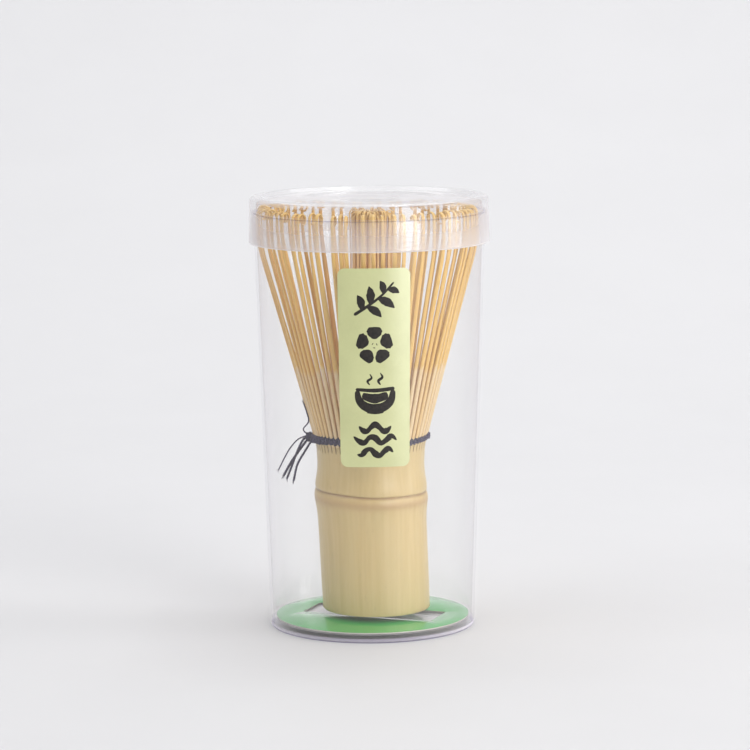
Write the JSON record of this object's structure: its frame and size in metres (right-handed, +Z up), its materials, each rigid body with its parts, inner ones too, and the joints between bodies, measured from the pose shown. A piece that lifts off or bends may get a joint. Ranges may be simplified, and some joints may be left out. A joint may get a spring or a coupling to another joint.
{
  "type": "bamboo tea whisk",
  "caption": "Tea whisk split from one length of bamboo, tied with thread, standing in a clear tapered case with a slip-on lid, a card base and a front label.",
  "frame": {"origin": "centre of the case's foot, on the table", "axes": "+Z up along the case's axis, -Y towards the label"},
  "size_m": [0.0664, 0.0664, 0.1197],
  "materials": {
    "clear_plastic": "clear, glossy",
    "frosted_plastic": "milky clear, softly glossy",
    "green_card": "coated, semi-gloss",
    "label_paper": "smooth coated paper",
    "bamboo": "bare bamboo skin, satin",
    "tine_bamboo": "split bamboo, satin",
    "dark_thread": "twisted cotton, matt"
  },
  "bodies": {
    "case": {"case_body": "clear_plastic", "base_card": "green_card", "label": "label_paper"},
    "lid": {"case_lid": "frosted_plastic"},
    "whisk": {"handle": "bamboo", "inner_tines": "tine_bamboo", "binding_thread": "dark_thread", "thread_knot": "dark_thread", "thread_end_1": "dark_thread", "thread_end_2": "dark_thread", "thread_end_3": "dark_thread", "thread_end_4": "dark_thread", "thread_end_5": "dark_thread"},
    "tines_01": {"outer_tines_01": "tine_bamboo"},
    "tines_02": {"outer_tines_02": "tine_bamboo"},
    "tines_03": {"outer_tines_03": "tine_bamboo"},
    "tines_04": {"outer_tines_04": "tine_bamboo"},
    "tines_05": {"outer_tines_05": "tine_bamboo"},
    "tines_06": {"outer_tines_06": "tine_bamboo"},
    "tines_07": {"outer_tines_07": "tine_bamboo"},
    "tines_08": {"outer_tines_08": "tine_bamboo"},
    "tines_09": {"outer_tines_09": "tine_bamboo"},
    "tines_10": {"outer_tines_10": "tine_bamboo"},
    "tines_11": {"outer_tines_11": "tine_bamboo"},
    "tines_12": {"outer_tines_12": "tine_bamboo"},
    "tines_13": {"outer_tines_13": "tine_bamboo"},
    "tines_14": {"outer_tines_14": "tine_bamboo"},
    "tines_15": {"outer_tines_15": "tine_bamboo"},
    "tines_16": {"outer_tines_16": "tine_bamboo"}
  },
  "joints": [
    {"name": "lid_lift", "type": "slide", "parent": "case", "child": "lid", "axis": [0, 0, 1], "range_m": [0, 0.24]},
    {"name": "whisk_lift", "type": "slide", "parent": "case", "child": "whisk", "axis": [0, 0, 1], "range_m": [0, 0.12]},
    {"name": "tines_01_flex", "type": "hinge", "parent": "whisk", "child": "tines_01", "pos_m": [0.0143, 0, 0.05], "axis": [0, -1, 0], "range_deg": [0, 2], "stiffness_Nm_per_rad": 0.04},
    {"name": "tines_02_flex", "type": "hinge", "parent": "whisk", "child": "tines_02", "pos_m": [0.0132, 0.00551, 0.05], "axis": [0.3827, -0.9239, 0], "range_deg": [0, 2], "stiffness_Nm_per_rad": 0.04},
    {"name": "tines_03_flex", "type": "hinge", "parent": "whisk", "child": "tines_03", "pos_m": [0.01008, 0.01018, 0.05], "axis": [0.7071, -0.7071, 0], "range_deg": [0, 2], "stiffness_Nm_per_rad": 0.04},
    {"name": "tines_04_flex", "type": "hinge", "parent": "whisk", "child": "tines_04", "pos_m": [0.00541, 0.0133, 0.05], "axis": [0.9239, -0.3827, 0], "range_deg": [0, 2], "stiffness_Nm_per_rad": 0.04},
    {"name": "tines_05_flex", "type": "hinge", "parent": "whisk", "child": "tines_05", "pos_m": [-0.0001, 0.0144, 0.05], "axis": [1, 0, 0], "range_deg": [0, 2], "stiffness_Nm_per_rad": 0.04},
    {"name": "tines_06_flex", "type": "hinge", "parent": "whisk", "child": "tines_06", "pos_m": [-0.00561, 0.0133, 0.05], "axis": [0.9239, 0.3827, 0], "range_deg": [0, 2], "stiffness_Nm_per_rad": 0.04},
    {"name": "tines_07_flex", "type": "hinge", "parent": "whisk", "child": "tines_07", "pos_m": [-0.01028, 0.01018, 0.05], "axis": [0.7071, 0.7071, 0], "range_deg": [0, 2], "stiffness_Nm_per_rad": 0.04},
    {"name": "tines_08_flex", "type": "hinge", "parent": "whisk", "child": "tines_08", "pos_m": [-0.0134, 0.00551, 0.05], "axis": [0.3827, 0.9239, 0], "range_deg": [0, 2], "stiffness_Nm_per_rad": 0.04},
    {"name": "tines_09_flex", "type": "hinge", "parent": "whisk", "child": "tines_09", "pos_m": [-0.0145, 0, 0.05], "axis": [0, 1, 0], "range_deg": [0, 2], "stiffness_Nm_per_rad": 0.04},
    {"name": "tines_10_flex", "type": "hinge", "parent": "whisk", "child": "tines_10", "pos_m": [-0.0134, -0.00551, 0.05], "axis": [-0.3827, 0.9239, 0], "range_deg": [0, 2], "stiffness_Nm_per_rad": 0.04},
    {"name": "tines_11_flex", "type": "hinge", "parent": "whisk", "child": "tines_11", "pos_m": [-0.01028, -0.01018, 0.05], "axis": [-0.7071, 0.7071, 0], "range_deg": [0, 2], "stiffness_Nm_per_rad": 0.04},
    {"name": "tines_12_flex", "type": "hinge", "parent": "whisk", "child": "tines_12", "pos_m": [-0.00561, -0.0133, 0.05], "axis": [-0.9239, 0.3827, 0], "range_deg": [0, 2], "stiffness_Nm_per_rad": 0.04},
    {"name": "tines_13_flex", "type": "hinge", "parent": "whisk", "child": "tines_13", "pos_m": [-0.0001, -0.0144, 0.05], "axis": [-1, 0, 0], "range_deg": [0, 2], "stiffness_Nm_per_rad": 0.04},
    {"name": "tines_14_flex", "type": "hinge", "parent": "whisk", "child": "tines_14", "pos_m": [0.00541, -0.0133, 0.05], "axis": [-0.9239, -0.3827, 0], "range_deg": [0, 2], "stiffness_Nm_per_rad": 0.04},
    {"name": "tines_15_flex", "type": "hinge", "parent": "whisk", "child": "tines_15", "pos_m": [0.01008, -0.01018, 0.05], "axis": [-0.7071, -0.7071, 0], "range_deg": [0, 2], "stiffness_Nm_per_rad": 0.04},
    {"name": "tines_16_flex", "type": "hinge", "parent": "whisk", "child": "tines_16", "pos_m": [0.0132, -0.00551, 0.05], "axis": [-0.3827, -0.9239, 0], "range_deg": [0, 2], "stiffness_Nm_per_rad": 0.04}
  ],
  "couplings": [
    {"joint": "whisk_lift", "follows": "lid_lift", "ratio": 0.5},
    {"joint": "tines_02_flex", "follows": "tines_01_flex", "ratio": 1},
    {"joint": "tines_03_flex", "follows": "tines_01_flex", "ratio": 1},
    {"joint": "tines_04_flex", "follows": "tines_01_flex", "ratio": 1},
    {"joint": "tines_05_flex", "follows": "tines_01_flex", "ratio": 1},
    {"joint": "tines_06_flex", "follows": "tines_01_flex", "ratio": 1},
    {"joint": "tines_07_flex", "follows": "tines_01_flex", "ratio": 1},
    {"joint": "tines_08_flex", "follows": "tines_01_flex", "ratio": 1},
    {"joint": "tines_09_flex", "follows": "tines_01_flex", "ratio": 1},
    {"joint": "tines_10_flex", "follows": "tines_01_flex", "ratio": 1},
    {"joint": "tines_11_flex", "follows": "tines_01_flex", "ratio": 1},
    {"joint": "tines_12_flex", "follows": "tines_01_flex", "ratio": 1},
    {"joint": "tines_13_flex", "follows": "tines_01_flex", "ratio": 1},
    {"joint": "tines_14_flex", "follows": "tines_01_flex", "ratio": 1},
    {"joint": "tines_15_flex", "follows": "tines_01_flex", "ratio": 1},
    {"joint": "tines_16_flex", "follows": "tines_01_flex", "ratio": 1}
  ]
}
